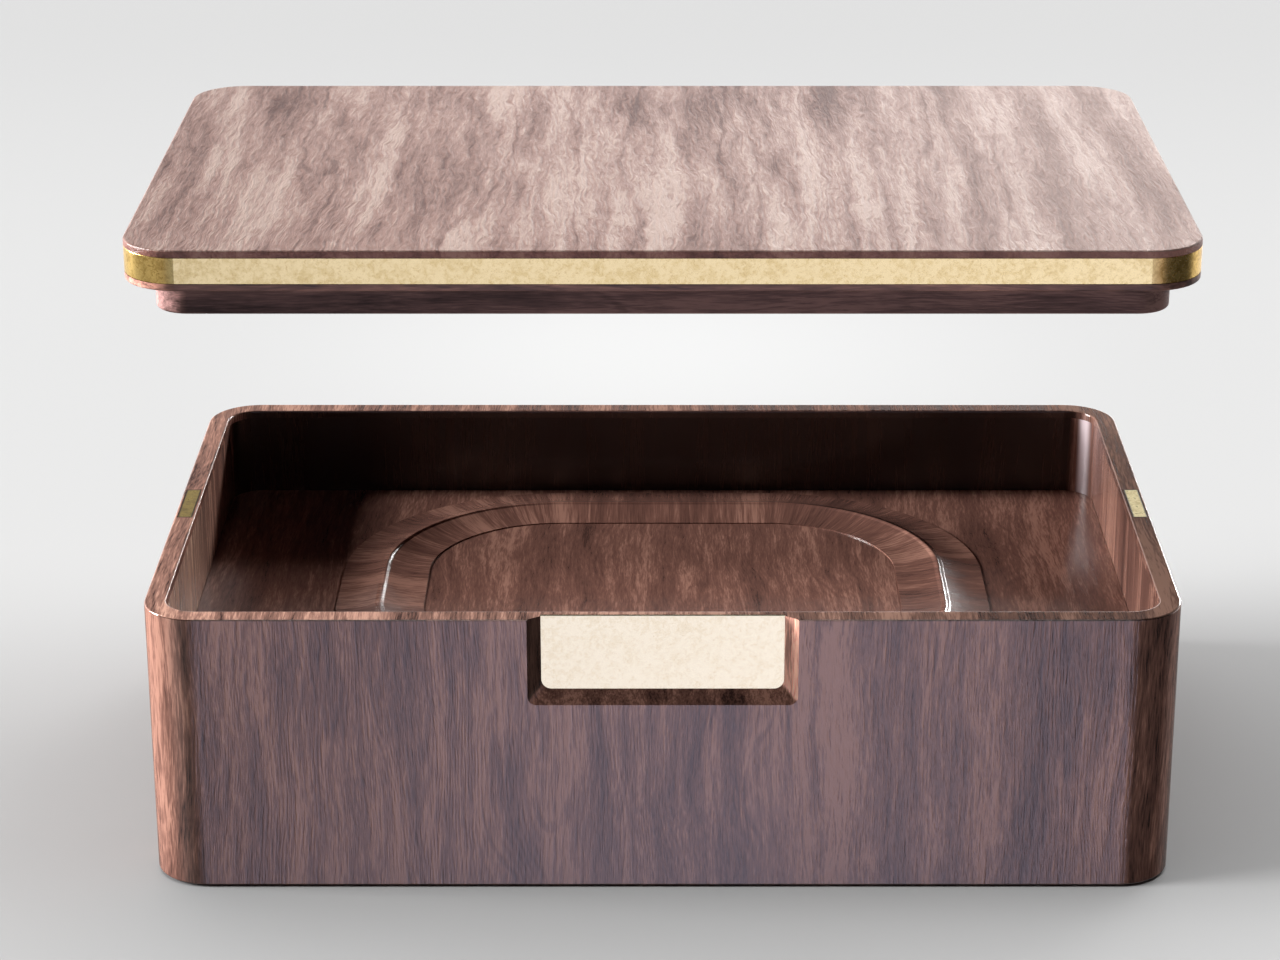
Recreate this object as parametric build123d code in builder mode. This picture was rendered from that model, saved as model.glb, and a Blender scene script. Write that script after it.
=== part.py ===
from build123d import *
from math import atan, cos, sin
import os

# Wooden signal-blocking box with a lift-off lid, shown with the lid raised above the box.
# Origin: middle of the underside. +X runs along the long side, +Y to the back, +Z up.
# All sizes are in millimetres.

# Driving sizes of the box
box_width = 266.0
box_depth = 162.7
rim_height = 75.6
corner_radius = 14.0
edge_round = 0.5
cavity_depth = 25.2

# The wall is a wooden skin, the metal tray and a wooden liner, nested with a small gap
skin_thickness = 2.4
tray_gauge = 0.8
liner_thickness = 2.2
fit_gap = 0.1
lip_height = 2.2

# Notch in the front wall, open at the rim, with bevelled sides
notch_width = 69.0
notch_drop = 23.7
notch_bevel = 3.5
notch_front_radius = 2.3
notch_back_radius = 2.6

# Contacts let into the left and right rims
contact_length = 20.8
contact_margin = 0.85
contact_gap = 0.15

# Raised floor, with a low moulded ring on it
floor_thickness = 8.0
ring_length = 179.0
ring_margin = 3.25
ring_side_straight = 25.0
ring_width = 24.0
ring_height = 2.0
ring_edge = 0.3
ring_round = 4.0

# Under the floor
felt_thickness = 1.0
felt_proud = 0.5
felt_margin = 1.0
base_thickness = 5.0
rail_thickness = 12.0
rib_thickness = 10.0
rib_spacing = 90.0

# Screws
screw_radius = 1.75
screw_head_radius = 3.5
screw_head_height = 2.0
screw_bite = 12.0
screw_gap = 0.05
screw_end_margin = 20.0
floor_screw_cover = 1.5
floor_screw_span_x = 130.0
floor_screw_span_y = 70.0

# Lid
lid_strip = 1.8
band_height = 6.75
band_thickness = 2.5
band_round = 0.2
plate_gauge = 0.8
lid_raise = 86.6
seat_gap = 0.3
spigot_height = 8.2
spigot_clearance = 1.55
spigot_radius = 8.6
spigot_round = 0.8
dowel_radius = 3.0
dowel_depth = 5.0
dowel_bite = 4.0
dowel_gap = 0.05
dowel_margin_x = 40.0
dowel_margin_y = 30.0

# Insets from the outside of the box, and levels
tray_inset = skin_thickness + fit_gap
liner_inset = tray_inset + tray_gauge + fit_gap
wall_thickness = liner_inset + liner_thickness
shell_bottom = felt_proud
base_bottom = felt_thickness
base_top = base_bottom + base_thickness
floor_level = rim_height - cavity_depth
tray_floor = floor_level - floor_thickness
tray_bottom = tray_floor - tray_gauge
rail_height = tray_bottom - base_top
lip_bottom = rim_height - lip_height
front_face = -box_depth / 2
lid_bottom = rim_height + seat_gap + lid_raise
band_bottom = lid_bottom + lid_strip
core_bottom = band_bottom + plate_gauge
band_top = band_bottom + band_height
spigot_bottom = lid_bottom - spigot_height

# Sizes that two pieces share
contact_width = wall_thickness - 2 * contact_margin
contact_x = box_width / 2 - wall_thickness / 2
tab_width = notch_width - 2 * notch_bevel
ring_depth = box_depth - 2 * wall_thickness - 2 * ring_margin
ring_corner = (ring_depth - ring_side_straight) / 2
rail_y = box_depth / 2 - tray_inset - rail_thickness / 2
rail_x = box_width / 2 - tray_inset - rail_thickness / 2
long_rail = box_width - 2 * corner_radius
short_rail = 2 * rail_y - rail_thickness - 2 * fit_gap
rail_screw_x = long_rail / 2 - screw_end_margin
rail_screws = [(x, y) for x in (-rail_screw_x, 0, rail_screw_x) for y in (-rail_y, rail_y)]
side_screws = [(-rail_x, 0), (rail_x, 0)]
base_screw_points = rail_screws + side_screws
floor_screw_points = [(x, y) for x in (-floor_screw_span_x / 2, floor_screw_span_x / 2)
                      for y in (-floor_screw_span_y / 2, floor_screw_span_y / 2)]
floor_screw_bite = floor_thickness - floor_screw_cover
dowel_x = box_width / 2 - dowel_margin_x
dowel_y = box_depth / 2 - dowel_margin_y
dowel_points = [(x, y) for x in (-dowel_x, 0, dowel_x) for y in (-dowel_y, dowel_y)]


def outline(inset):
    """Footprint of the box drawn in by inset, with the corners kept concentric."""
    RectangleRounded(box_width - 2 * inset, box_depth - 2 * inset, corner_radius - inset)


def contact_outline(gap):
    """Both rim contacts seen from above, each grown by gap."""
    with Locations((-contact_x, 0), (contact_x, 0)):
        Rectangle(contact_width + 2 * gap, contact_length + 2 * gap)


def save(piece, name):
    """Label a finished piece and write it under its own name."""
    piece.label = name
    export_step(piece, f"parts/{name}.step")


os.makedirs("parts", exist_ok=True)

# Outer shell: a skin of wood with a lip at the top that forms the whole rim
notch_plane = Plane(origin=(0, front_face, rim_height), x_dir=(1, 0, 0), z_dir=(0, -1, 0))
notch_faces = [(0, 0, notch_front_radius), (skin_thickness, notch_bevel, notch_back_radius)]
with BuildPart() as outer_shell:
    with BuildSketch(Plane.XY.offset(shell_bottom)):
        outline(0)
    extrude(amount=rim_height - shell_bottom)
    with BuildSketch(Plane.XY.offset(shell_bottom)):
        outline(skin_thickness)
    extrude(amount=lip_bottom - shell_bottom, mode=Mode.SUBTRACT)
    with BuildSketch(Plane.XY.offset(lip_bottom)):
        outline(wall_thickness)
    extrude(amount=lip_height, mode=Mode.SUBTRACT)
    fillet(outer_shell.edges().group_by(Axis.Z)[-1], edge_round)
    fillet(outer_shell.faces().sort_by(Axis.Z)[0].outer_wire().edges(), edge_round)
    # Bevelled notch through the skin, from the front face back to the metal
    for depth, draw_in, radius in notch_faces:
        with BuildSketch(notch_plane.offset(-depth)) as notch_outline:
            with Locations((0, draw_in - notch_drop)):
                Rectangle(
                    notch_width - 2 * draw_in,
                    2 * (notch_drop - draw_in),
                    align=(Align.CENTER, Align.MIN),
                )
            fillet(notch_outline.vertices().group_by(Axis.Y)[0], radius)
    loft(ruled=True, mode=Mode.SUBTRACT)
    # Slot in the lip for the tray's tab
    with BuildSketch(Plane.XY.offset(lip_bottom)):
        with Locations((0, front_face + skin_thickness)):
            Rectangle(
                tab_width + 2 * fit_gap,
                tray_gauge + 2 * fit_gap,
                align=(Align.CENTER, Align.MIN),
            )
    extrude(amount=lip_height, mode=Mode.SUBTRACT)
    # Pockets for the two rim contacts
    with BuildSketch(Plane.XY.offset(lip_bottom)):
        contact_outline(contact_gap)
    extrude(amount=lip_height, mode=Mode.SUBTRACT)
save(outer_shell.part, "outer_shell")

# Shield tray: folded metal sheet inside the walls, with a tab that shows in the notch
with BuildPart() as shield_tray:
    with BuildSketch(Plane.XY.offset(tray_bottom)):
        outline(tray_inset)
    extrude(amount=lip_bottom - tray_bottom)
    with BuildSketch(Plane.XY.offset(tray_floor)):
        outline(tray_inset + tray_gauge)
    extrude(amount=lip_bottom - tray_floor, mode=Mode.SUBTRACT)
    with BuildSketch(Plane.XY.offset(lip_bottom)):
        with Locations((0, front_face + tray_inset)):
            Rectangle(tab_width, tray_gauge, align=(Align.CENTER, Align.MIN))
    extrude(amount=lip_height)
    with BuildSketch(Plane.XY.offset(tray_bottom)):
        with Locations(*floor_screw_points):
            Circle(screw_radius + screw_gap)
    extrude(amount=tray_gauge, mode=Mode.SUBTRACT)
save(shield_tray.part, "shield_tray")

# Inner liner: the wooden wall seen inside the box, standing in the tray under the lip
with BuildPart() as inner_liner:
    with BuildSketch(Plane.XY.offset(tray_floor)):
        outline(liner_inset)
        RectangleRounded(
            box_width - 2 * wall_thickness,
            box_depth - 2 * wall_thickness,
            corner_radius - wall_thickness,
            mode=Mode.SUBTRACT,
        )
    extrude(amount=lip_bottom - tray_floor)
save(inner_liner.part, "inner_liner")

# Floor panel: thick panel inside the liner, held from below by four screws
with BuildPart() as floor_panel:
    with BuildSketch(Plane.XY.offset(tray_floor)):
        outline(wall_thickness + fit_gap)
    extrude(amount=floor_thickness)
    with BuildSketch(Plane.XY.offset(tray_floor)):
        with Locations(*floor_screw_points):
            Circle(screw_radius + screw_gap)
    extrude(amount=floor_screw_bite, mode=Mode.SUBTRACT)
save(floor_panel.part, "floor_panel")

# Rest ring: low moulding glued on the floor, hollow on both flanks, with a rounded crest.
# Each flank leaves its edge level and meets the crest's arc at the same slope.
with BuildSketch(Plane.XY.offset(floor_level)) as crest_outline:
    RectangleRounded(ring_length - ring_width, ring_depth - ring_width, ring_corner - ring_width / 2)
crest_line = crest_outline.sketch.face().outer_wire()
crest_slope = 2 * atan((ring_height - ring_edge) / (ring_width / 2))
shoulder_x = ring_round * sin(crest_slope)
shoulder_z = ring_height - ring_round * (1 - cos(crest_slope))
ring_section = Plane(
    origin=crest_line @ 0,
    x_dir=Vector(0, 0, 1).cross(crest_line % 0),
    z_dir=crest_line % 0,
)
with BuildPart() as rest_ring:
    with BuildSketch(ring_section):
        with BuildLine():
            Line((-ring_width / 2, 0), (-ring_width / 2, ring_edge))
            TangentArc((-ring_width / 2, ring_edge), (-shoulder_x, shoulder_z), tangent=(1, 0))
            ThreePointArc((-shoulder_x, shoulder_z), (0, ring_height), (shoulder_x, shoulder_z))
            TangentArc((ring_width / 2, ring_edge), (shoulder_x, shoulder_z), tangent=(-1, 0))
            Line((ring_width / 2, ring_edge), (ring_width / 2, 0))
            Line((ring_width / 2, 0), (-ring_width / 2, 0))
        make_face()
    sweep(path=crest_line)
save(rest_ring.part, "rest_ring")

# Rim contacts: metal blocks flush with the rim, standing on the tray's edge
for side, name in ((-1, "rim_contact_left"), (1, "rim_contact_right")):
    with BuildPart() as rim_contact:
        with BuildSketch(Plane.XY.offset(lip_bottom)):
            with Locations((side * contact_x, 0)):
                Rectangle(contact_width, contact_length)
        extrude(amount=lip_height)
    save(rim_contact.part, name)

# Base panel: closes the underside inside the shell, drilled and countersunk for its screws
with BuildPart() as base_panel:
    with BuildSketch(Plane.XY.offset(base_bottom)):
        outline(tray_inset)
    extrude(amount=base_thickness)
    for point in base_screw_points:
        with BuildSketch(Plane.XY.offset(base_bottom)):
            with Locations(point):
                Circle(screw_head_radius + screw_gap)
        with BuildSketch(Plane.XY.offset(base_bottom + screw_head_height)):
            with Locations(point):
                Circle(screw_radius + screw_gap)
        loft(mode=Mode.SUBTRACT)
    with BuildSketch(Plane.XY.offset(base_bottom)):
        with Locations(*base_screw_points):
            Circle(screw_radius + screw_gap)
    extrude(amount=base_thickness, mode=Mode.SUBTRACT)
save(base_panel.part, "base_panel")

# Base felt: soft sheet glued under the base panel, the face the box rests on
with BuildPart() as base_felt:
    with BuildSketch():
        outline(skin_thickness + felt_margin)
    extrude(amount=felt_thickness)
save(base_felt.part, "base_felt")

# Support rails: four strips glued inside the skin, between the base panel and the tray
rails = {
    "support_rail_front": ((0, -rail_y), (long_rail, rail_thickness), rail_screws),
    "support_rail_back": ((0, rail_y), (long_rail, rail_thickness), rail_screws),
    "support_rail_left": ((-rail_x, 0), (rail_thickness, short_rail), side_screws),
    "support_rail_right": ((rail_x, 0), (rail_thickness, short_rail), side_screws),
}
for name, (centre, size, points) in rails.items():
    with BuildPart() as support_rail:
        with BuildSketch(Plane.XY.offset(base_top)):
            with Locations(centre):
                Rectangle(*size)
        extrude(amount=rail_height)
        with BuildSketch(Plane.XY.offset(base_top)):
            with Locations(*points):
                Circle(screw_radius + screw_gap)
        extrude(amount=screw_bite, mode=Mode.SUBTRACT)
    save(support_rail.part, name)

# Cross ribs: carry the middle of the tray between the front and back rails
for side, name in ((-1, "cross_rib_left"), (1, "cross_rib_right")):
    with BuildPart() as cross_rib:
        with BuildSketch(Plane.XY.offset(base_top)):
            with Locations((side * rib_spacing / 2, 0)):
                Rectangle(rib_thickness, short_rail)
        extrude(amount=rail_height)
    save(cross_rib.part, name)

# Base screws: countersunk wood screws from the underside into the rails
with BuildPart() as base_screws:
    for point in base_screw_points:
        with BuildSketch(Plane.XY.offset(base_bottom)):
            with Locations(point):
                Circle(screw_head_radius)
        with BuildSketch(Plane.XY.offset(base_bottom + screw_head_height)):
            with Locations(point):
                Circle(screw_radius)
        loft()
    with BuildSketch(Plane.XY.offset(base_bottom + screw_head_height)):
        with Locations(*base_screw_points):
            Circle(screw_radius)
    extrude(amount=base_thickness + screw_bite - screw_head_height - screw_gap)
save(base_screws.part, "base_screws")

# Floor screws: round-headed, from under the tray into the floor panel
with BuildPart() as floor_screws:
    with BuildSketch(Plane.XY.offset(tray_bottom)):
        with Locations(*floor_screw_points):
            Circle(screw_head_radius)
    extrude(amount=-screw_head_height)
    with BuildSketch(Plane.XY.offset(tray_bottom)):
        with Locations(*floor_screw_points):
            Circle(screw_radius)
    extrude(amount=tray_gauge + floor_screw_bite - screw_gap)
save(floor_screws.part, "floor_screws")

# Lower panel of the lid: thin wood under the band, with openings for the lid contacts
with BuildPart() as lid_lower_panel:
    with BuildSketch(Plane.XY.offset(lid_bottom)):
        outline(0)
    extrude(amount=lid_strip)
    fillet(lid_lower_panel.faces().sort_by(Axis.Z)[0].outer_wire().edges(), edge_round)
    with BuildSketch(Plane.XY.offset(lid_bottom)):
        contact_outline(contact_gap)
        with Locations(*dowel_points):
            Circle(dowel_radius + dowel_gap)
    extrude(amount=lid_strip, mode=Mode.SUBTRACT)
save(lid_lower_panel.part, "lid_lower_panel")

# Lid contacts: metal blocks that meet the rim contacts and touch the band above them
for side, name in ((-1, "lid_contact_left"), (1, "lid_contact_right")):
    with BuildPart() as lid_contact:
        with BuildSketch(Plane.XY.offset(lid_bottom)):
            with Locations((side * contact_x, 0)):
                Rectangle(contact_width, contact_length)
        extrude(amount=lid_strip)
    save(lid_contact.part, name)

# Lid band: the metal hoop round the edge of the lid
with BuildPart() as lid_band:
    with BuildSketch(Plane.XY.offset(band_bottom)):
        outline(0)
    extrude(amount=band_height)
    fillet(lid_band.edges().group_by(Axis.Z)[0], band_round)
    fillet(lid_band.edges().group_by(Axis.Z)[-1], band_round)
    with BuildSketch(Plane.XY.offset(band_bottom)):
        outline(band_thickness)
    extrude(amount=band_height, mode=Mode.SUBTRACT)
save(lid_band.part, "lid_band")

# Shield plate of the lid: metal sheet inside the band that closes the enclosure
with BuildPart() as lid_shield_plate:
    with BuildSketch(Plane.XY.offset(band_bottom)):
        outline(band_thickness + fit_gap)
    extrude(amount=plate_gauge)
    with BuildSketch(Plane.XY.offset(band_bottom)):
        with Locations(*dowel_points):
            Circle(dowel_radius + dowel_gap)
    extrude(amount=plate_gauge, mode=Mode.SUBTRACT)
save(lid_shield_plate.part, "lid_shield_plate")

# Core of the lid: board inside the band, on top of the shield plate
with BuildPart() as lid_core:
    with BuildSketch(Plane.XY.offset(core_bottom)):
        outline(band_thickness + fit_gap)
    extrude(amount=band_top - core_bottom)
    with BuildSketch(Plane.XY.offset(core_bottom)):
        with Locations(*dowel_points):
            Circle(dowel_radius + dowel_gap)
    extrude(amount=dowel_bite, mode=Mode.SUBTRACT)
save(lid_core.part, "lid_core")

# Top panel of the lid: thin figured wood over the band and the core
with BuildPart() as lid_top_panel:
    with BuildSketch(Plane.XY.offset(band_top)):
        outline(0)
    extrude(amount=lid_strip)
    fillet(lid_top_panel.edges().group_by(Axis.Z)[-1], edge_round)
save(lid_top_panel.part, "lid_top_panel")

# Spigot: board under the lid that drops into the box and centres the lid
spigot_inset = wall_thickness + spigot_clearance
with BuildPart() as lid_spigot:
    with BuildSketch(Plane.XY.offset(spigot_bottom)):
        RectangleRounded(box_width - 2 * spigot_inset, box_depth - 2 * spigot_inset, spigot_radius)
    extrude(amount=spigot_height)
    fillet(lid_spigot.edges().group_by(Axis.Z)[0], spigot_round)
    with BuildSketch(Plane.XY.offset(lid_bottom)):
        with Locations(*dowel_points):
            Circle(dowel_radius + dowel_gap)
    extrude(amount=-dowel_depth, mode=Mode.SUBTRACT)
save(lid_spigot.part, "lid_spigot")

# Lid dowels: pin the spigot through the lower panel and the plate into the core
with BuildPart() as lid_dowels:
    with BuildSketch(Plane.XY.offset(lid_bottom - dowel_depth)):
        with Locations(*dowel_points):
            Circle(dowel_radius)
    extrude(amount=dowel_depth + lid_strip + plate_gauge + dowel_bite)
save(lid_dowels.part, "lid_dowels")
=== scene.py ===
import math

import bpy
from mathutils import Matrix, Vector


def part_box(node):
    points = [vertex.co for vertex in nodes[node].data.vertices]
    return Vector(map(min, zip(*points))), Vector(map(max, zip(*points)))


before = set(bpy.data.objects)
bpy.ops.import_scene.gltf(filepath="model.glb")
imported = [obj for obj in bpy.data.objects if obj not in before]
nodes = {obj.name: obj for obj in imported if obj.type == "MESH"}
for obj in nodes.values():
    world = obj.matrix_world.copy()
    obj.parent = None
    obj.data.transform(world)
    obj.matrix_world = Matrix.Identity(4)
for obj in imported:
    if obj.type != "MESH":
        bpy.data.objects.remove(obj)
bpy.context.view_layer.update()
mm = 0.001
print("frame loaded:", len(nodes), "pieces")


# Small helpers for building node trees

def put(tree, kind, inputs=None, **settings):
    node = tree.nodes.new(kind)
    for name, value in settings.items():
        setattr(node, name, value)
    for name, value in (inputs or {}).items():
        if isinstance(value, bpy.types.NodeSocket):
            tree.links.new(value, node.inputs[name])
        else:
            node.inputs[name].default_value = value
    return node


def calc(tree, operation, a, b=0.0, c=0.0):
    return put(tree, "ShaderNodeMath", {0: a, 1: b, 2: c}, operation=operation).outputs[0]


def times(tree, first, *others):
    for other in others:
        first = calc(tree, "MULTIPLY", first, other)
    return first


def vecCalc(tree, operation, a, b):
    return put(tree, "ShaderNodeVectorMath", {0: a, 1: b}, operation=operation).outputs[0]


def parts(tree, vector):
    return put(tree, "ShaderNodeSeparateXYZ", {0: vector}).outputs


def mixColor(tree, factor, a, b, blend="MIX"):
    a, b = [side if isinstance(side, bpy.types.NodeSocket) else (*side, 1.0) for side in (a, b)]
    node = put(tree, "ShaderNodeMix", {0: factor, 6: a, 7: b}, data_type="RGBA", blend_type=blend)
    return node.outputs[2]


def ramp(tree, value, low, high, toLow=0.0, toHigh=1.0, smooth=True):
    ends = {"Value": value, "From Min": low, "From Max": high, "To Min": toLow, "To Max": toHigh}
    easing = "SMOOTHSTEP" if smooth else "LINEAR"
    return put(tree, "ShaderNodeMapRange", ends, interpolation_type=easing).outputs[0]


def between(tree, value, rise, fall):
    return times(tree, ramp(tree, value, *rise), ramp(tree, value, *fall))


def noise(tree, vector, detail, roughness, distortion=0.0, scale=1.0):
    return put(tree, "ShaderNodeTexNoise", {"Vector": vector, "Scale": scale, "Detail": detail,
                                            "Roughness": roughness, "Distortion": distortion})


def facingUp(tree, source):
    # One on faces that look up, and zero on walls
    return ramp(tree, parts(tree, source["Normal"])[2], 0.60, 0.75)


def startMaterial(name):
    material = bpy.data.materials.new(name)
    material.use_nodes = True
    tree = material.node_tree
    tree.nodes.clear()
    return material, tree


def finishMaterial(tree, color, roughness, bump, metallic=0.0, ior=1.5):
    shader = put(tree, "ShaderNodeBsdfPrincipled", {
        "Base Color": color,
        "Metallic": metallic,
        "Roughness": roughness,
        "IOR": ior,
        "Normal": bump.outputs[0],
    })
    put(tree, "ShaderNodeOutputMaterial", {"Surface": shader.outputs[0]})


def dress(material, *names):
    for name in names:
        slot = nodes[name].material_slots[0]
        slot.link = "OBJECT"
        slot.material = material


# Camera at the photograph's viewing angle

camera = {
    "lens": 95.19,
    "sensor": 36.0,
    "place": (-0.0007, -0.8684, 0.4128),
    "tilt": 69.173,
    "shiftX": -0.0156,
    "clip": (0.01, 50.0),
}


def makeCamera():
    data = bpy.data.cameras.new("photoCamera")
    data.lens = camera["lens"]
    data.sensor_width = camera["sensor"]
    data.shift_x = camera["shiftX"]
    data.clip_start, data.clip_end = camera["clip"]
    item = bpy.data.objects.new("photoCamera", data)
    item.location = camera["place"]
    item.rotation_euler = (math.radians(camera["tilt"]), 0.0, 0.0)
    bpy.context.scene.collection.objects.link(item)
    bpy.context.scene.camera = item


# Walnut. Sizes are in millimetres, across and along the grain. A share is how much that
# layer lightens or darkens the wood, and a relief is how much of it is felt in the surface.

walnut = {
    "warpSize": (45.0, 90.0),
    "warp": 8.0,
    "curlSize": (7.0, 13.0),
    "curl": 0.5,
    "broad": (13.0, 130.0),
    "broadShare": 1.9,
    "figure": (30.0, 110.0),
    "figureOffset": (0.31, 0.72, 0.13),
    "ringWidth": 11.0,
    "ringShift": 4.0,
    "ringShare": 0.12,
    "linesPerRing": 7.0,
    "lineShare": 0.05,
    "veinEdge": 0.965,
    "veinShare": 0.06,
    "streak": (1.7, 24.0),
    "streakShare": 1.6,
    "streakRelief": 0.8,
    "fine": (0.38, 6.0),
    "fineShare": 1.2,
    "fineRelief": 0.6,
    "light": (0.46, 0.235, 0.175),
    "middle": (0.235, 0.112, 0.085),
    "dark": (0.045, 0.021, 0.018),
    "lift": 0.0,
    "darkest": -0.1,
    "darkEnd": 0.52,
    "lightTones": (0.48, 0.95),
    "roughness": (0.25, 0.33),
    "ior": 1.55,
    "bump": 0.12,
    "topBump": 0.35,
    "offset": (0.0, 0.0, 0.0),
}


def grainScale(axis, size):
    across, along = [1.0 / (length * mm) for length in size]
    return tuple(along if name == axis else across for name in "XYZ")


def acrossGrain(tree, vector, axis):
    places = parts(tree, vector)
    first, second = [places[index] for index, name in enumerate("XYZ") if name != axis]
    return calc(tree, "ADD", first, second)


def walnutMaterial(name, axis, upAxis=None, route=None, shade=None, relief=None, **changes):
    look = {**walnut, **changes}
    material, tree = startMaterial(name)
    source = put(tree, "ShaderNodeTexCoord").outputs
    place = route(tree, source["Object"]) if route else source["Object"]
    onTop = facingUp(tree, source) if upAxis else None

    def layer(vector, size, detail, roughness):
        scaled = vecCalc(tree, "MULTIPLY", vector, grainScale(axis, size))
        if upAxis:
            over = vecCalc(tree, "MULTIPLY", vector, grainScale(upAxis, size))
            mixed = put(tree, "ShaderNodeMix", {0: onTop, 4: scaled, 5: over}, data_type="VECTOR")
            scaled = mixed.outputs[1]
        return noise(tree, scaled, detail, roughness)

    def bend(vector, size, amount):
        field = vecCalc(tree, "SUBTRACT", layer(vector, size, 1.0, 0.5).outputs["Color"], (0.5, 0.5, 0.5))
        pull = amount * mm
        return vecCalc(tree, "ADD", vector, vecCalc(tree, "MULTIPLY", field, (pull, pull, pull)))

    shifted = vecCalc(tree, "ADD", place, look["offset"])
    bent = bend(bend(shifted, look["warpSize"], look["warp"]), look["curlSize"], look["curl"])
    broad = layer(bent, look["broad"], 3.0, 0.55).outputs[0]
    streak = layer(bent, look["streak"], 5.0, 0.7).outputs[0]
    fine = layer(bent, look["fine"], 3.0, 0.6).outputs[0]
    elsewhere = vecCalc(tree, "ADD", bent, look["figureOffset"])
    figure = layer(elsewhere, look["figure"], 2.0, 0.5).outputs[0]
    # Growth rings run along the grain and wander with the figure, with finer lines between them
    across = acrossGrain(tree, bent, axis)
    if upAxis:
        over = acrossGrain(tree, bent, upAxis)
        mixed = put(tree, "ShaderNodeMix", {0: onTop, 2: across, 3: over}, data_type="FLOAT")
        across = mixed.outputs[0]
    wander = calc(tree, "MULTIPLY", figure, look["ringShift"])
    count = calc(tree, "MULTIPLY_ADD", across, 1.0 / (look["ringWidth"] * mm), wander)
    rings = calc(tree, "SINE", calc(tree, "MULTIPLY", count, 2.0 * math.pi))
    lines = calc(tree, "SINE", calc(tree, "MULTIPLY", count, 2.0 * math.pi * look["linesPerRing"]))
    # A dark vein lies on the crest of each ring
    veins = ramp(tree, rings, look["veinEdge"], 1.0)
    tone = calc(tree, "MULTIPLY_ADD", rings, look["ringShare"], 0.5 + look["lift"])
    tone = calc(tree, "MULTIPLY_ADD", lines, look["lineShare"], tone)
    tone = calc(tree, "MULTIPLY_ADD", veins, -look["veinShare"], tone)
    for field, share in ((broad, "broadShare"), (streak, "streakShare"), (fine, "fineShare")):
        centred = calc(tree, "SUBTRACT", field, 0.5)
        tone = calc(tree, "MULTIPLY_ADD", centred, look[share], tone)
    darkToMiddle = ramp(tree, tone, look["darkest"], look["darkEnd"], smooth=False)
    color = mixColor(tree, darkToMiddle, look["dark"], look["middle"])
    color = mixColor(tree, ramp(tree, tone, *look["lightTones"]), color, look["light"])
    if shade:
        color = shade(tree, source, color)
    smooth, rough = look["roughness"]
    roughness = ramp(tree, tone, 0.1, 0.9, rough, smooth, False)
    height = calc(tree, "MULTIPLY", streak, look["streakRelief"])
    height = calc(tree, "MULTIPLY_ADD", fine, look["fineRelief"], height)
    height = calc(tree, "MULTIPLY_ADD", lines, look["lineShare"], height)
    if upAxis:
        height = calc(tree, "MULTIPLY", height, ramp(tree, onTop, 0.0, 1.0, 1.0, look["topBump"]))
    bump = put(tree, "ShaderNodeBump", {"Height": height, "Strength": look["bump"], "Distance": mm})
    if relief:
        bump = put(tree, "ShaderNodeBump", {"Height": relief(tree, place), "Strength": 1.0, "Distance": 1.0,
                                            "Normal": bump.outputs[0]})
    finishMaterial(tree, color, roughness, bump, ior=look["ior"])
    return material


# Painted light and shade: where a piece of wood is painted paler or darker than its own pattern, for how
# light falls on it. Most are gains on its colour, one for all of it or one each for red, green and blue. The
# lid's painted sheen and the painted highlight in the liner's corners are colours laid over it.

shades = {
    "rimLeftPaintedLight": (1.45, 1.62, 1.64),
    "rimRightPaintedShade": (0.78, 0.89, 0.90),
    "rimBackPaintedShade": 0.8,
    "rimEdgePaintedShade": 0.4,
    "awayPaintedShade": 0.6,
    "rightCornerPaintedShade": 0.78,
    "notchLeftPaintedShade": 0.22,
    "notchRightPaintedLight": 3.8,
    "backPaintedShade": 0.095,
    "leftWallPaintedLight": (2.5, 3.2, 3.1),
    "leftEndPaintedLight": 4.0,
    "lidSidePaintedShade": (0.85, 0.6, 0.56),
    "lidLeftPaintedShade": 0.86,
    "lidPaintedSheen": (0.46, 0.325, 0.285),
    "lidPaintedSheenShare": 0.45,
    "paintedCornerHighlight": (0.60, 0.50, 0.52),
}

# Where those places begin and end, in metres from the middle of the box

zones = {
    "rimEnd": 0.13,
    "rimBackPaintedShade": (0.065, 0.075),
    "notchHalf": 0.06,
    "rightCornerPaintedShade": (0.10, 0.12),
    "frontCorner": (0.0, -0.05),
    "leftWallFront": (-0.06, 0.0),
    "backEdge": (0.04, 0.06),
    "leftHalf": (0.05, -0.05),
    "rightHalf": (-0.05, 0.05),
    "leftWallPaintedLight": (0.04, -0.04),
    "lidPaintedSheen": (0.03, 0.12),
    "lidLeftPaintedShade": (-0.05, -0.13),
}


def gain(tree, color, factor, amount):
    amounts = amount if isinstance(amount, tuple) else (amount, amount, amount)
    levels = [ramp(tree, factor, 0.0, 1.0, 1.0, value, False) for value in amounts]
    tint = put(tree, "ShaderNodeCombineColor", dict(enumerate(levels))).outputs[0]
    return mixColor(tree, 1.0, color, tint, "MULTIPLY")


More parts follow.
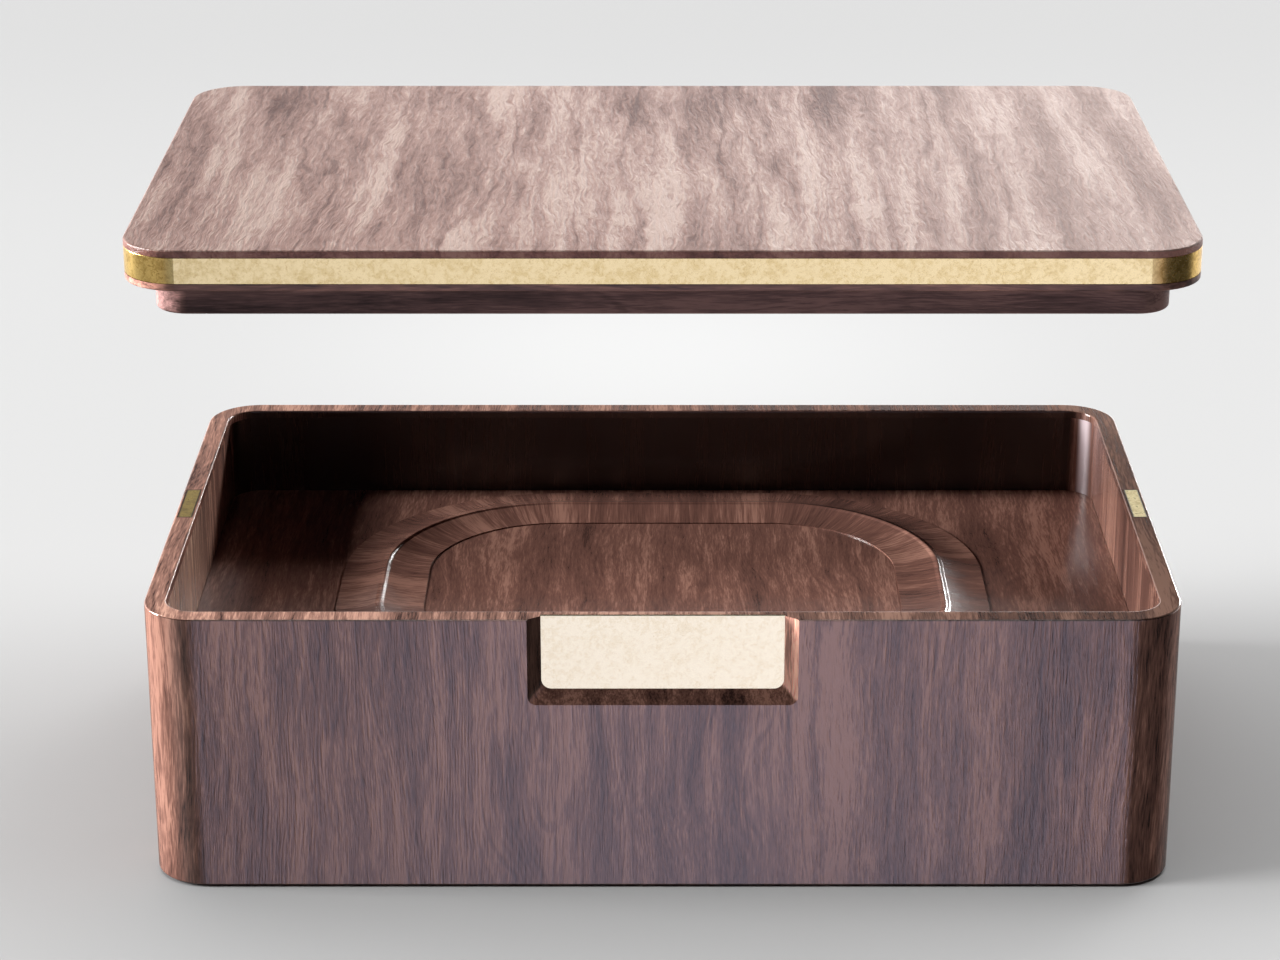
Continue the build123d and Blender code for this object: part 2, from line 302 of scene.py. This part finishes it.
def shellShade(tree, source, color):
    x, y = parts(tree, source["Object"])[:2]
    sideways, deep, up = parts(tree, source["Normal"])
    # Painted light makes the rim pale on the left, and painted shade dulls it on the right and at the back
    rim = facingUp(tree, source)
    end = zones["rimEnd"]
    rimLeftPaintedLight = times(tree, rim, ramp(tree, x, end, -end, smooth=False))
    rimRightPaintedShade = times(tree, rim, ramp(tree, x, -end, end, smooth=False))
    color = gain(tree, color, rimLeftPaintedLight, shades["rimLeftPaintedLight"])
    color = gain(tree, color, rimRightPaintedShade, shades["rimRightPaintedShade"])
    color = gain(tree, color, times(tree, rim, ramp(tree, y, *zones["rimBackPaintedShade"])), shades["rimBackPaintedShade"])
    # Painted shade darkens its rounded front edge, but not the notch's lower bevel
    inNotch = calc(tree, "LESS_THAN", calc(tree, "ABSOLUTE", x), zones["notchHalf"])
    frontEdge = times(tree, ramp(tree, up, 0.10, 0.25), ramp(tree, deep, -0.6, -0.75),
                      calc(tree, "SUBTRACT", 1.0, inNotch))
    color = gain(tree, color, frontEdge, shades["rimEdgePaintedShade"])
    # Painted shade darkens the front right corner more than the left one
    corner = times(tree, between(tree, sideways, (0.05, 0.15), (0.85, 0.55)),
                   ramp(tree, x, *zones["rightCornerPaintedShade"]), ramp(tree, y, *zones["frontCorner"]))
    color = gain(tree, color, corner, shades["rightCornerPaintedShade"])
    # Painted shade darkens the back and the left side more than the front
    leftSide = times(tree, ramp(tree, sideways, -0.5, -0.9), ramp(tree, y, *zones["leftWallFront"]))
    away = calc(tree, "MAXIMUM", ramp(tree, deep, 0.2, 0.6), leftSide)
    color = gain(tree, color, times(tree, away, ramp(tree, up, 0.5, 0.3)), shades["awayPaintedShade"])
    # Painted shade darkens the inner edge of the back rim as much as the back board under it
    backEdge = times(tree, ramp(tree, deep, -0.7, -0.95), ramp(tree, y, *zones["backEdge"]))
    color = gain(tree, color, backEdge, shades["backPaintedShade"])
    # Painted shade darkens the notch's left bevel and painted light brightens its right bevel
    leftBevel = times(tree, inNotch, ramp(tree, sideways, 0.30, 0.45))
    rightBevel = times(tree, inNotch, ramp(tree, sideways, -0.30, -0.45))
    color = gain(tree, color, leftBevel, shades["notchLeftPaintedShade"])
    return gain(tree, color, rightBevel, shades["notchRightPaintedLight"])


def linerShade(tree, source, color):
    x, y = parts(tree, source["Object"])[:2]
    sideways, deep = parts(tree, source["Normal"])[:2]
    # Painted shade darkens the back board and the back left corner, painted light brightens the front of the
    # left wall, and a painted highlight lies in the corners on the right
    leftCorner = times(tree, ramp(tree, deep, -0.2, -0.5), ramp(tree, x, *zones["leftHalf"]))
    backPaintedShade = calc(tree, "MAXIMUM", ramp(tree, deep, -0.90, -0.99), leftCorner)
    color = gain(tree, color, backPaintedShade, shades["backPaintedShade"])
    leftWallPaintedLight = times(tree, ramp(tree, sideways, 0.8, 0.95), ramp(tree, y, *zones["leftWallPaintedLight"]))
    color = gain(tree, color, leftWallPaintedLight, shades["leftWallPaintedLight"])
    askew = calc(tree, "ABSOLUTE", calc(tree, "SUBTRACT", calc(tree, "ABSOLUTE", sideways), 0.70))
    cornerHighlight = times(tree, ramp(tree, askew, 0.24, 0.04), ramp(tree, x, *zones["rightHalf"]))
    return mixColor(tree, cornerHighlight, color, shades["paintedCornerHighlight"])


def leftEndShade(tree, source, color):
    # Painted light brightens the corners at the left end
    sideways, deep = parts(tree, source["Normal"])[:2]
    leftCorner = times(tree, ramp(tree, sideways, -0.05, -0.25), ramp(tree, deep, 0.0, -0.25))
    return gain(tree, color, leftCorner, shades["leftEndPaintedLight"])


def lidShade(tree, source, color):
    # A painted sheen makes the right of the lid paler and plainer, and painted shade darkens its left end
    # and its side faces
    x = parts(tree, source["Object"])[0]
    up = parts(tree, source["Normal"])[2]
    pale = ramp(tree, x, *zones["lidPaintedSheen"], 0.0, shades["lidPaintedSheenShare"])
    color = mixColor(tree, pale, color, shades["lidPaintedSheen"])
    color = gain(tree, color, ramp(tree, x, *zones["lidLeftPaintedShade"]), shades["lidLeftPaintedShade"])
    return gain(tree, color, ramp(tree, up, 0.7, 0.3), shades["lidSidePaintedShade"])


# The ring on the floor has its grain across it: its texture is laid out along and across its
# path. A thin bead runs on its crest. Sizes are in metres.

ring = {
    "sideStraight": 0.025,
    "crest": 0.048,
    "beadHalfWidth": 0.0014,
    "beadHeight": 0.0006,
}


def ringRoute(tree, place):
    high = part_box("rest_ring")[1]
    cornerY = ring["sideStraight"] / 2
    radius = high[1] - cornerY
    cornerX = high[0] - radius
    x, y = parts(tree, place)[:2]
    farX, farY = calc(tree, "ABSOLUTE", x), calc(tree, "ABSOLUTE", y)
    overX = calc(tree, "MAXIMUM", calc(tree, "SUBTRACT", farX, cornerX), 0.00001)
    overY = calc(tree, "MAXIMUM", calc(tree, "SUBTRACT", farY, cornerY), 0.0)
    turn = calc(tree, "MULTIPLY", calc(tree, "ARCTAN2", overY, overX), radius)
    side = calc(tree, "MINIMUM", farY, cornerY)
    end = calc(tree, "SUBTRACT", cornerX, calc(tree, "MINIMUM", farX, cornerX))
    along = calc(tree, "ADD", calc(tree, "ADD", side, turn), end)
    signed = calc(tree, "MULTIPLY", along, calc(tree, "SIGN", y))
    reach = calc(tree, "SQRT", calc(tree, "ADD", times(tree, overX, overX), times(tree, overY, overY)))
    # A little of x keeps the left and right halves from being alike
    apart = calc(tree, "MULTIPLY", x, 0.1)
    return put(tree, "ShaderNodeCombineXYZ", {0: signed, 1: reach, 2: apart}).outputs[0]


def ringBead(tree, place):
    reach = parts(tree, place)[1]
    aside = calc(tree, "ABSOLUTE", calc(tree, "SUBTRACT", reach, ring["crest"]))
    return ramp(tree, aside, ring["beadHalfWidth"], 0.0, 0.0, ring["beadHeight"])


# Brass. Cloud, patch and speck sizes are in millimetres.

brass = {
    "clouds": 5.0,
    "patches": 1.4,
    "specks": 0.35,
    "patchShare": 0.6,
    "color": (0.66, 0.62, 0.30),
    "darker": (0.585, 0.525, 0.225),
    "cornerReflectionColor": (0.97, 0.70, 0.24),
    "cornerReflectionDarker": (0.56, 0.37, 0.10),
    "cornerRoughness": 0.08,
    "speckColor": (0.36, 0.26, 0.09),
    "speckShare": 0.36,
    "metallic": 1.0,
    "roughness": (0.16, 0.23),
    "bump": 0.02,
    "bumpHeight": 0.4,
    "seamWidths": (0.5, 0.1),
}


def seamRound(tree, place, piece):
    low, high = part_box(piece)
    beyond = []
    for index, value in enumerate(parts(tree, place)[:2]):
        away = calc(tree, "ABSOLUTE", calc(tree, "SUBTRACT", value, (low[index] + high[index]) / 2))
        beyond.append(calc(tree, "SUBTRACT", away, (high[index] - low[index]) / 2))
    nearest = calc(tree, "MAXIMUM", *beyond)
    wide, narrow = brass["seamWidths"]
    return ramp(tree, nearest, -wide * mm, -narrow * mm)


def brassMaterial(name, seam=None, **changes):
    look = {**brass, **changes}
    material, tree = startMaterial(name)
    source = put(tree, "ShaderNodeTexCoord").outputs
    place = source["Object"]
    clouds = noise(tree, place, 3.0, 0.6, 0.0, 1.0 / (look["clouds"] * mm)).outputs[0]
    patches = noise(tree, place, 4.0, 0.65, 0.6, 1.0 / (look["patches"] * mm)).outputs[0]
    specks = noise(tree, place, 2.0, 0.6, 0.0, 1.0 / (look["specks"] * mm)).outputs[0]
    mottle = calc(tree, "MULTIPLY", clouds, 1.0 - look["patchShare"])
    mottle = calc(tree, "MULTIPLY_ADD", patches, look["patchShare"], mottle)
    # Painted reflection: the bent corners are a deeper gold with stronger patches than the flat faces, for
    # the darker surroundings they mirror
    sideways = parts(tree, source["Normal"])[0]
    corner = ramp(tree, calc(tree, "ABSOLUTE", sideways), 0.01, 0.20)
    lighter = mixColor(tree, corner, look["color"], look["cornerReflectionColor"])
    darker = mixColor(tree, corner, look["darker"], look["cornerReflectionDarker"])
    tint = mixColor(tree, ramp(tree, mottle, 0.38, 0.56), darker, lighter)
    spots = times(tree, ramp(tree, specks, 0.42, 0.34), ramp(tree, patches, 0.62, 0.45), look["speckShare"])
    tint = mixColor(tree, spots, tint, look["speckColor"])
    if seam:
        tint = mixColor(tree, seamRound(tree, place, seam), tint, look["seamColor"])
    smooth, rough = look["roughness"]
    roughness = ramp(tree, mottle, 0.35, 0.62, rough, smooth, False)
    roughness = calc(tree, "MULTIPLY_ADD", corner, look["cornerRoughness"], roughness)
    height = calc(tree, "MULTIPLY_ADD", specks, 0.4, mottle)
    bump = put(tree, "ShaderNodeBump", {"Height": height, "Strength": look["bump"],
                                        "Distance": look["bumpHeight"] * mm})
    finishMaterial(tree, tint, roughness, bump, metallic=look["metallic"])
    return material


# Plain boards, which hardly show

plainBoard = {
    "paler": 1.25,
    "darker": 0.55,
    "roughness": (0.5, 0.65),
    "ior": 1.45,
}
boardColors = {
    "base": (0.30, 0.19, 0.12),
    "rail": (0.42, 0.29, 0.18),
    "core": (0.48, 0.36, 0.24),
}


def boardMaterial(name, board, axis):
    color = boardColors[board]
    light = tuple(plainBoard["paler"] * level for level in color)
    dark = tuple(plainBoard["darker"] * level for level in color)
    return walnutMaterial(name, axis, light=light, middle=color, dark=dark,
                          roughness=plainBoard["roughness"], ior=plainBoard["ior"])


# Felt under the box

felt = {
    "fibreScale": 900.0,
    "dark": (0.030, 0.027, 0.027),
    "pale": (0.075, 0.068, 0.066),
    "roughness": 0.92,
    "bump": 0.5,
}


def feltMaterial():
    material, tree = startMaterial("felt")
    place = put(tree, "ShaderNodeTexCoord").outputs["Object"]
    fibres = noise(tree, place, 5.0, 0.7, 1.5, felt["fibreScale"]).outputs[0]
    tint = mixColor(tree, ramp(tree, fibres, 0.35, 0.65), felt["dark"], felt["pale"])
    bump = put(tree, "ShaderNodeBump", {"Height": fibres, "Strength": felt["bump"], "Distance": mm})
    finishMaterial(tree, tint, felt["roughness"], bump)
    return material


# Plated screws

screwSteel = {
    "platingScale": 700.0,
    "dark": (0.46, 0.46, 0.47),
    "pale": (0.66, 0.65, 0.62),
    "roughness": (0.26, 0.42),
    "bump": 0.1,
    "bumpHeight": 0.3,
}


def screwMaterial():
    material, tree = startMaterial("screwSteel")
    place = put(tree, "ShaderNodeTexCoord").outputs["Object"]
    plating = noise(tree, place, 4.0, 0.6, 0.0, screwSteel["platingScale"]).outputs[0]
    tint = mixColor(tree, ramp(tree, plating, 0.3, 0.7), screwSteel["dark"], screwSteel["pale"])
    smooth, rough = screwSteel["roughness"]
    roughness = ramp(tree, plating, 0.3, 0.7, rough, smooth, False)
    bump = put(tree, "ShaderNodeBump", {"Height": plating, "Strength": screwSteel["bump"],
                                        "Distance": screwSteel["bumpHeight"] * mm})
    finishMaterial(tree, tint, roughness, bump, metallic=1.0)
    return material


# What each piece wears, where it differs from the plain walnut or brass

shell = {
    "veinShare": 0.14,
    "streakShare": 1.8,
    "fineShare": 1.5,
    "roughness": (0.08, 0.14),
    "ior": 1.75,
}
lidTop = {
    "curlSize": (4.0, 10.0),
    "curl": 2.2,
    "broad": (11.0, 115.0),
    "broadShare": 2.3,
    "figure": (30.0, 260.0),
    "ringWidth": 23.0,
    "ringShift": 3.0,
    "ringShare": 0.08,
    "linesPerRing": 9.0,
    "lineShare": 0.03,
    "veinShare": 0.26,
    "streak": (2.4, 34.0),
    "streakShare": 1.45,
    "fine": (0.7, 6.0),
    "fineShare": 1.0,
    "light": (0.48, 0.335, 0.28),
    "middle": (0.335, 0.195, 0.162),
    "dark": (0.105, 0.044, 0.036),
    "darkest": -0.15,
    "roughness": (0.28, 0.40),
    "ior": 1.5,
    "bump": 0.45,
    "offset": (0.1, 0.1, 0.3),
}
# The lid's lower panel is darker all over (its lift): painted shade on its edges
lidEdge = {
    "lift": -0.25,
    "ior": 1.42,
    "offset": (0.1, 0.3, 0.3),
}
# The spigot's walnut is darker than the rest: painted shade under the lid
spigot = {
    "light": (0.22, 0.12, 0.108),
    "middle": (0.12, 0.065, 0.06),
    "dark": (0.03, 0.016, 0.014),
    "roughness": (0.38, 0.45),
    "ior": 1.25,
    "offset": (0.1, 0.3, 0.3),
}
# Walnut inside the box is darker than the shell's: painted shade in the box
shadedIndoors = {
    "curlSize": (5.0, 8.0),
    "curl": 1.0,
    "broadShare": 1.8,
    "ringShare": 0.06,
    "lineShare": 0.04,
    "streak": (1.6, 18.0),
    "streakShare": 1.5,
    "fine": (0.35, 4.0),
    "fineShare": 0.9,
    "light": (0.33, 0.17, 0.127),
    "middle": (0.17, 0.08, 0.061),
    "dark": (0.055, 0.026, 0.021),
    "darkest": -0.2,
    "roughness": (0.18, 0.27),
    "bump": 0.07,
}
floorBoard = {
    **shadedIndoors,
    "offset": (0.2, 0.4, 0.0),
}
ringMoulding = {
    **shadedIndoors,
    "warp": 2.0,
    "curl": 0.3,
    "streak": (1.3, 24.0),
    "fine": (0.4, 12.0),
}
liner = {
    **shadedIndoors,
    "curl": 0.4,
    "broadShare": 2.4,
    "streak": (2.2, 60.0),
    "streakShare": 2.6,
    "offset": (0.5, 0.2, 0.0),
}
contact = {
    "clouds": 3.0,
    "color": (0.74, 0.64, 0.30),
    "darker": (0.50, 0.40, 0.14),
    "seamColor": (0.045, 0.03, 0.015),
    "metallic": 0.5,
    "roughness": (0.26, 0.36),
}
# The left rim contact is a darker copy of the contact brass: painted shade
shadedLeftContact = {
    **contact,
    "color": (0.32, 0.23, 0.057),
    "darker": (0.17, 0.115, 0.025),
}
paleBrass = {
    "color": (0.735, 0.765, 0.51),
    "darker": (0.71, 0.72, 0.46),
    "speckColor": (0.60, 0.50, 0.26),
    "speckShare": 0.20,
}


def dressPieces():
    dress(walnutMaterial("shellWalnut", "Z", "Y", shade=shellShade, **shell), "outer_shell")
    dress(walnutMaterial("linerWalnut", "Z", shade=linerShade, **liner), "inner_liner")
    dress(walnutMaterial("floorWalnut", "Y", **floorBoard), "floor_panel")
    dress(walnutMaterial("ringWalnut", "Y", route=ringRoute, relief=ringBead, **ringMoulding), "rest_ring")
    dress(walnutMaterial("lidWalnut", "Y", shade=lidShade, **lidTop), "lid_top_panel")
    dress(walnutMaterial("lidEdgeWalnut", "X", shade=leftEndShade, **lidEdge), "lid_lower_panel")
    dress(walnutMaterial("spigotWalnut", "X", shade=leftEndShade, **spigot), "lid_spigot")
    dress(brassMaterial("bandBrass"), "lid_band")
    dress(brassMaterial("plateBrass", **paleBrass), "shield_tray", "lid_shield_plate")
    dress(brassMaterial("contactBrass", **contact), "lid_contact_left", "lid_contact_right")
    dress(brassMaterial("rightContactBrass", seam="rim_contact_right", **contact), "rim_contact_right")
    dress(brassMaterial("leftContactBrass", seam="rim_contact_left", **shadedLeftContact), "rim_contact_left")
    dress(boardMaterial("baseBoard", "base", "X"), "base_panel")
    dress(boardMaterial("railBoard", "rail", "X"), "support_rail_front", "support_rail_back")
    dress(boardMaterial("ribBoard", "rail", "Y"), "support_rail_left", "support_rail_right",
          "cross_rib_left", "cross_rib_right")
    dress(boardMaterial("coreBoard", "core", "X"), "lid_core", "lid_dowels")
    dress(feltMaterial(), "base_felt")
    dress(screwMaterial(), "base_screws", "floor_screws")


# Studio floor. Each step is a depth behind the box's middle and the floor's tone there; the darker steps
# beside the box are painted shadow, and a painted pool of light lies behind the box.

floorLook = {
    "size": 6.0,
    "drop": 0.0002,
    "steps": ((-0.13, 0.278), (-0.05, 0.246), (-0.01, 0.243), (0.16, 0.315), (0.40, 0.315), (0.95, 0.288)),
    "paintedPoolTone": 0.040,
    "poolPlace": (0.0, 0.36),
    "poolSize": 0.2,
}


def makeFloor():
    half = floorLook["size"] / 2
    corners = [(-half, -half, 0), (half, -half, 0), (half, half, 0), (-half, half, 0)]
    mesh = bpy.data.meshes.new("studioFloor")
    mesh.from_pydata(corners, [], [(0, 1, 2, 3)])
    floor = bpy.data.objects.new("studioFloor", mesh)
    bpy.context.scene.collection.objects.link(floor)
    floor.location.z = -floorLook["drop"]
    floor.visible_glossy = False
    material, tree = startMaterial("studioFloor")
    place = put(tree, "ShaderNodeTexCoord").outputs["Object"]
    away = vecCalc(tree, "SUBTRACT", place, (*floorLook["poolPlace"], 0.0))
    distance = put(tree, "ShaderNodeVectorMath", {0: away}, operation="LENGTH").outputs["Value"]
    depth = parts(tree, place)[1]
    pool = ramp(tree, distance, floorLook["poolSize"], 0.0, 0.0, floorLook["paintedPoolTone"])
    steps = floorLook["steps"]
    tone = calc(tree, "ADD", pool, steps[0][1])
    for (near, nearTone), (far, farTone) in zip(steps, steps[1:]):
        tone = calc(tree, "ADD", tone, ramp(tree, depth, near, far, 0.0, farTone - nearTone))
    grey = put(tree, "ShaderNodeCombineColor", {0: tone, 1: tone, 2: tone}).outputs[0]
    matte = put(tree, "ShaderNodeBsdfDiffuse", {"Color": grey})
    put(tree, "ShaderNodeOutputMaterial", {"Surface": matte.outputs[0]})
    mesh.materials.append(material)
    return floor


# The backdrop that the camera sees, and what polished pieces mirror. Heights are the z of a
# direction, and turns are degrees round from the front, positive to the right. A pair is where
# an edge begins and ends.

mirrored = {
    "seenTone": 0.80,
    "backTint": (1.03, 0.965, 0.945),
    "backLeft": 1.05,
    "backRight": 3.4,
    "backMiddle": (-0.15, 0.15),
    "backSide": 0.4,
    "backSideEdge": (0.2, 0.4),
    "backDepth": (0.1, 0.4),
    "backTop": (0.308, 0.28),
    "backFoot": (-0.34, -0.26),
    "backFootShare": 0.1,
    "card": (1.27, 1.09, 1.40),
    "cardLeft": -11.5,
    "cardRight": 12.0,
    "cardSoft": (1.5, 1.0),
    "cardTop": (0.25, 0.10),
    "cardSlope": (0.97, 1.08),
    "lidHeights": (-0.34, -0.31),
    "lidReach": 26.0,
    "lidTurns": (5.0, 11.0),
    "lidGain": 0.8,
    "roundLeft": 0.44,
    "roundRight": 0.08,
    "roundDimRight": (0.0, 12.0),
    "roundDimLeft": (-100.0, -125.0),
    "roundTop": (0.05, -0.10),
    "roundFoot": (-0.35, -0.28),
    "roundFootShare": 0.2,
    "litFloor": 0.3,
    "litFloorTurns": ((-28.0, -40.0), (-74.0, -60.0)),
    "litFloorTop": (-0.28, -0.36),
    "glint": 3.2,
    "glintTurns": ((146.0, 150.0), (162.0, 159.0)),
    "glintHeights": ((0.15, 0.18), (0.34, 0.31)),
}


def makeWorld():
    world = bpy.data.worlds.new("studio")
    bpy.context.scene.world = world
    world.use_nodes = True
    tree = world.node_tree
    tree.nodes.clear()
    x, y, z = parts(tree, put(tree, "ShaderNodeTexCoord").outputs["Generated"])
    path = put(tree, "ShaderNodeLightPath").outputs
    seen = path["Is Camera Ray"]
    glossy = calc(tree, "MAXIMUM", path["Is Glossy Ray"], path["Is Transmission Ray"])
    turn = calc(tree, "MULTIPLY", calc(tree, "ARCTAN2", x, calc(tree, "MULTIPLY", y, -1.0)), 180.0 / math.pi)
    # A bright backdrop low behind the box, brighter on the right
    backdrop = times(tree, ramp(tree, y, *mirrored["backDepth"]), ramp(tree, z, *mirrored["backTop"]),
                     ramp(tree, z, *mirrored["backFoot"], mirrored["backFootShare"], 1.0),
                     ramp(tree, x, *mirrored["backMiddle"], mirrored["backLeft"], mirrored["backRight"]),
                     ramp(tree, x, *mirrored["backSideEdge"], 1.0, mirrored["backSide"]),
                     calc(tree, "SUBTRACT", 1.0, seen))
    # A card ahead, which reaches further right where the lid's edge mirrors it
    left, right = mirrored["cardLeft"], mirrored["cardRight"]
    softLeft, softRight = mirrored["cardSoft"]
    reach = ramp(tree, z, *mirrored["lidHeights"], 1.0, mirrored["lidReach"])
    inFront = between(tree, turn, (left - softLeft, left + softLeft),
                      (calc(tree, "ADD", reach, right), right - softRight))
    card = times(tree, inFront, ramp(tree, z, *mirrored["cardTop"]),
                 ramp(tree, turn, left, right, *mirrored["cardSlope"]))
    top, foot = mirrored["lidHeights"][::-1]
    lidGain = times(tree, ramp(tree, turn, *mirrored["lidTurns"], 0.0, mirrored["lidGain"]),
                    ramp(tree, z, top, foot))
    card = calc(tree, "MULTIPLY_ADD", card, lidGain, card)
    # The dim studio around, its lit floor ahead on the left, and a low glint behind on the right
    dim = calc(tree, "MAXIMUM", ramp(tree, turn, *mirrored["roundDimRight"]),
               ramp(tree, turn, *mirrored["roundDimLeft"]))
    around = times(tree, ramp(tree, dim, 0.0, 1.0, mirrored["roundLeft"], mirrored["roundRight"]),
                   ramp(tree, z, *mirrored["roundTop"]), calc(tree, "SUBTRACT", 1.0, inFront),
                   ramp(tree, z, *mirrored["roundFoot"], mirrored["roundFootShare"], 1.0))
    litFloor = times(tree, between(tree, turn, *mirrored["litFloorTurns"]),
                     ramp(tree, z, *mirrored["litFloorTop"]))
    glint = times(tree, between(tree, turn, *mirrored["glintTurns"]),
                  between(tree, z, *mirrored["glintHeights"]))
    around = calc(tree, "MULTIPLY_ADD", litFloor, mirrored["litFloor"], around)
    around = calc(tree, "MULTIPLY_ADD", glint, mirrored["glint"], around)
    level = calc(tree, "MULTIPLY_ADD", glossy, around, backdrop)
    level = calc(tree, "MULTIPLY_ADD", seen, mirrored["seenTone"], level)
    tint = mixColor(tree, seen, mirrored["backTint"], (1.0, 1.0, 1.0))
    plain = put(tree, "ShaderNodeBackground", {"Color": tint, "Strength": level})
    front = put(tree, "ShaderNodeBackground", {"Color": (*mirrored["card"], 1.0),
                                               "Strength": times(tree, glossy, card)})
    both = put(tree, "ShaderNodeAddShader", {0: plain.outputs[0], 1: front.outputs[0]})
    put(tree, "ShaderNodeOutputWorld", {"Surface": both.outputs[0]})


# Softboxes aimed at the box, and suns that light only the floor. A softbox with lid True lights
# only the lid and isn't mirrored, and one with lid False lights only the rest.

softboxes = {
    "keyLeft": {"place": (-1.42, 0.20, 0.54), "size": (0.26, 0.70), "power": 69.0},
    "backRight": {"place": (0.75, 1.20, 0.50), "size": (0.35, 0.16), "power": 22.0, "lid": False},
    "lidFill": {"place": (0.75, 1.20, 0.50), "size": (0.35, 0.16), "power": 20.0, "lid": True},
    "frontTop": {"place": (0.0, -0.45, 1.30), "size": (0.6, 0.5), "power": 3.0},
}
aim = Vector((0.0, 0.0, 0.09))
floorSuns = {
    "floorKey": {"azimuth": 265.0, "elevation": 27.0, "spread": 25.0, "strength": 6.4},
    "floorBack": {"azimuth": 35.0, "elevation": 30.0, "spread": 25.0, "strength": 1.06},
    "floorTop": {"azimuth": 0.0, "elevation": 80.0, "spread": 60.0, "strength": 4.72},
}


def makeSoftbox(name, box):
    lid = box.get("lid")
    receivers = bpy.data.collections.new(name)
    for piece, item in nodes.items():
        if lid is None or piece.startswith("lid_") == lid:
            receivers.objects.link(item)
    data = bpy.data.lights.new(name, "AREA")
    data.shape = "RECTANGLE"
    data.size, data.size_y = box["size"]
    data.energy = box["power"]
    lamp = bpy.data.objects.new(name, data)
    lamp.location = box["place"]
    lamp.rotation_euler = (aim - Vector(box["place"])).to_track_quat("-Z", "Y").to_euler()
    lamp.visible_glossy = not lid
    bpy.context.scene.collection.objects.link(lamp)
    lamp.light_linking.receiver_collection = receivers


def makeSun(name, sun, receivers):
    data = bpy.data.lights.new(name, "SUN")
    data.energy = sun["strength"]
    data.angle = math.radians(sun["spread"])
    lamp = bpy.data.objects.new(name, data)
    azimuth, elevation = math.radians(sun["azimuth"]), math.radians(sun["elevation"])
    level = math.cos(elevation)
    toward = Vector((math.sin(azimuth) * level, math.cos(azimuth) * level, math.sin(elevation)))
    lamp.rotation_euler = toward.to_track_quat("Z", "Y").to_euler()
    bpy.context.scene.collection.objects.link(lamp)
    lamp.light_linking.receiver_collection = receivers


def makeStudio():
    floor = makeFloor()
    makeWorld()
    floorGroup = bpy.data.collections.new("lightsOnFloor")
    floorGroup.objects.link(floor)
    for name, box in softboxes.items():
        makeSoftbox(name, box)
    for name, sun in floorSuns.items():
        makeSun(name, sun, floorGroup)


bpy.context.scene.view_settings.view_transform = "Standard"
makeCamera()
print("camera placed")
dressPieces()
print("materials made")
makeStudio()
print("studio lit")
